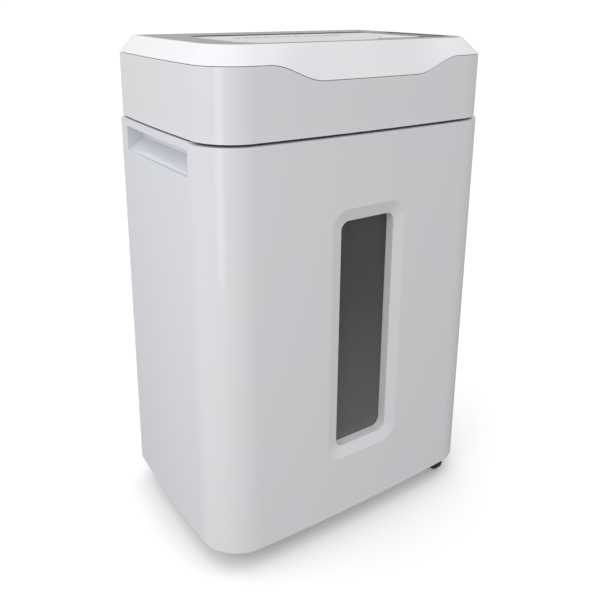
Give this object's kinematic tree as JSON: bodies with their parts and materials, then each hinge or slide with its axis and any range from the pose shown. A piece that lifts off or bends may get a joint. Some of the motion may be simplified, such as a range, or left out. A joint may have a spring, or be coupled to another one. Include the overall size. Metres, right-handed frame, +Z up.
{
  "type": "paper shredder",
  "caption": "Deskside paper shredder with pull-out windowed bin, chamfered head, geared cross-cut cutters and swivel casters.",
  "frame": {"origin": "centre of the footprint on the floor", "axes": "+Z up, -Y is the front with the bin window, +X to the right seen from the front"},
  "size_m": [0.37, 0.232, 0.5654],
  "materials": {
    "white_gloss": "glossy moulded white",
    "white_matte": "fine matte",
    "grey_plastic": "matte",
    "silver_satin": "satin silver paint",
    "label_grey": "printed film, satin",
    "display_dark": "glossy black",
    "black_plastic": "fine texture",
    "zinc_steel": "zinc plated",
    "hard_steel": "ground",
    "sintered_bronze": "sintered",
    "nylon": "natural nylon",
    "green_board": "solder mask",
    "board_part": "moulded",
    "capacitor_white": "smooth",
    "tinted_window": "smoked acrylic",
    "magnet_dark": "ferrite",
    "red_rocker": "glossy",
    "wheel_rubber": "black polyurethane"
  },
  "bodies": {
    "cabinet": {"side_panel_left": "white_gloss", "side_panel_right": "white_gloss", "back_panel": "white_matte", "base_pan": "grey_plastic", "top_deck": "grey_plastic", "bin_rail_left": "zinc_steel", "bin_rail_right": "zinc_steel", "bin_sensor": "grey_plastic", "head_shell": "white_gloss", "head_base": "grey_plastic", "top_bezel": "white_gloss", "top_plate": "silver_satin", "label_panel": "label_grey", "control_wedge": "white_gloss", "display_panel": "display_dark", "feed_throat": "black_plastic", "cutter_frame_left": "zinc_steel", "cutter_frame_right": "zinc_steel", "tie_rods": "zinc_steel", "shaft_bushes": "sintered_bronze", "comb_front": "black_plastic", "comb_rear": "black_plastic", "gear_pins": "zinc_steel", "gearbox_cover": "grey_plastic", "motor_can": "zinc_steel", "motor_stator": "hard_steel", "circuit_board": "green_board", "board_parts": "board_part", "run_capacitor": "capacitor_white", "power_inlet": "black_plastic", "switch_housing": "black_plastic", "head_screws": "zinc_steel", "back_screws": "zinc_steel", "caster_sockets": "grey_plastic"},
    "bin": {"bin_front_panel": "white_gloss", "bin_tub": "white_matte", "window_pane": "tinted_window", "window_retainer": "grey_plastic", "retainer_screws": "zinc_steel", "bin_magnet": "magnet_dark"},
    "cutter_front": {"cutter_front": "hard_steel"},
    "cutter_rear": {"cutter_rear": "hard_steel"},
    "idler_slow": {"idler_slow": "hard_steel"},
    "idler_fast": {"idler_fast": "hard_steel"},
    "rotor": {"motor_rotor": "hard_steel", "motor_fan": "nylon"},
    "rocker": {"mains_rocker": "red_rocker"},
    "caster_front_left": {"fork_front_left": "zinc_steel"},
    "wheel_front_left": {"wheel_front_left": "wheel_rubber"},
    "caster_front_right": {"fork_front_right": "zinc_steel"},
    "wheel_front_right": {"wheel_front_right": "wheel_rubber"},
    "caster_rear_left": {"fork_rear_left": "zinc_steel"},
    "wheel_rear_left": {"wheel_rear_left": "wheel_rubber"},
    "caster_rear_right": {"fork_rear_right": "zinc_steel"},
    "wheel_rear_right": {"wheel_rear_right": "wheel_rubber"}
  },
  "joints": [
    {"name": "bin_slide", "type": "slide", "parent": "cabinet", "child": "bin", "axis": [0, -1, 0], "range_m": [0, 0.2]},
    {"name": "cutter_front_spin", "type": "hinge", "parent": "cabinet", "child": "cutter_front", "pos_m": [0, 0.037, 0.508], "axis": [1, 0, 0], "continuous": true},
    {"name": "cutter_rear_spin", "type": "hinge", "parent": "cabinet", "child": "cutter_rear", "pos_m": [0, 0.067, 0.508], "axis": [1, 0, 0], "continuous": true},
    {"name": "idler_slow_spin", "type": "hinge", "parent": "cabinet", "child": "idler_slow", "pos_m": [0.15, 0.00276, 0.51912], "axis": [1, 0, 0], "continuous": true},
    {"name": "idler_fast_spin", "type": "hinge", "parent": "cabinet", "child": "idler_fast", "pos_m": [0.14, -0.02823, 0.50935], "axis": [1, 0, 0], "continuous": true},
    {"name": "motor_spin", "type": "hinge", "parent": "cabinet", "child": "rotor", "pos_m": [0.07, -0.05876, 0.51474], "axis": [1, 0, 0], "continuous": true},
    {"name": "mains_rocker_tip", "type": "hinge", "parent": "cabinet", "child": "rocker", "pos_m": [-0.096, 0.108, 0.508], "axis": [1, 0, 0], "range_deg": [0, 14]},
    {"name": "swivel_front_left", "type": "hinge", "parent": "cabinet", "child": "caster_front_left", "pos_m": [-0.147, -0.079, 0.045], "axis": [0, 0, 1], "continuous": true},
    {"name": "roll_front_left", "type": "hinge", "parent": "caster_front_left", "child": "wheel_front_left", "pos_m": [-0.147, -0.067, 0.012], "axis": [1, 0, 0], "continuous": true},
    {"name": "swivel_front_right", "type": "hinge", "parent": "cabinet", "child": "caster_front_right", "pos_m": [0.147, -0.079, 0.045], "axis": [0, 0, 1], "continuous": true},
    {"name": "roll_front_right", "type": "hinge", "parent": "caster_front_right", "child": "wheel_front_right", "pos_m": [0.147, -0.091, 0.012], "axis": [1, 0, 0], "continuous": true},
    {"name": "swivel_rear_left", "type": "hinge", "parent": "cabinet", "child": "caster_rear_left", "pos_m": [-0.147, 0.084, 0.045], "axis": [0, 0, 1], "continuous": true},
    {"name": "roll_rear_left", "type": "hinge", "parent": "caster_rear_left", "child": "wheel_rear_left", "pos_m": [-0.147, 0.072, 0.012], "axis": [1, 0, 0], "continuous": true},
    {"name": "swivel_rear_right", "type": "hinge", "parent": "cabinet", "child": "caster_rear_right", "pos_m": [0.147, 0.084, 0.045], "axis": [0, 0, 1], "continuous": true},
    {"name": "roll_rear_right", "type": "hinge", "parent": "caster_rear_right", "child": "wheel_rear_right", "pos_m": [0.147, 0.072, 0.012], "axis": [1, 0, 0], "continuous": true}
  ],
  "couplings": [
    {"joint": "cutter_rear_spin", "follows": "cutter_front_spin", "ratio": -1},
    {"joint": "idler_slow_spin", "follows": "cutter_front_spin", "ratio": -2},
    {"joint": "idler_fast_spin", "follows": "cutter_front_spin", "ratio": 6.6667},
    {"joint": "motor_spin", "follows": "cutter_front_spin", "ratio": -27.778}
  ]
}
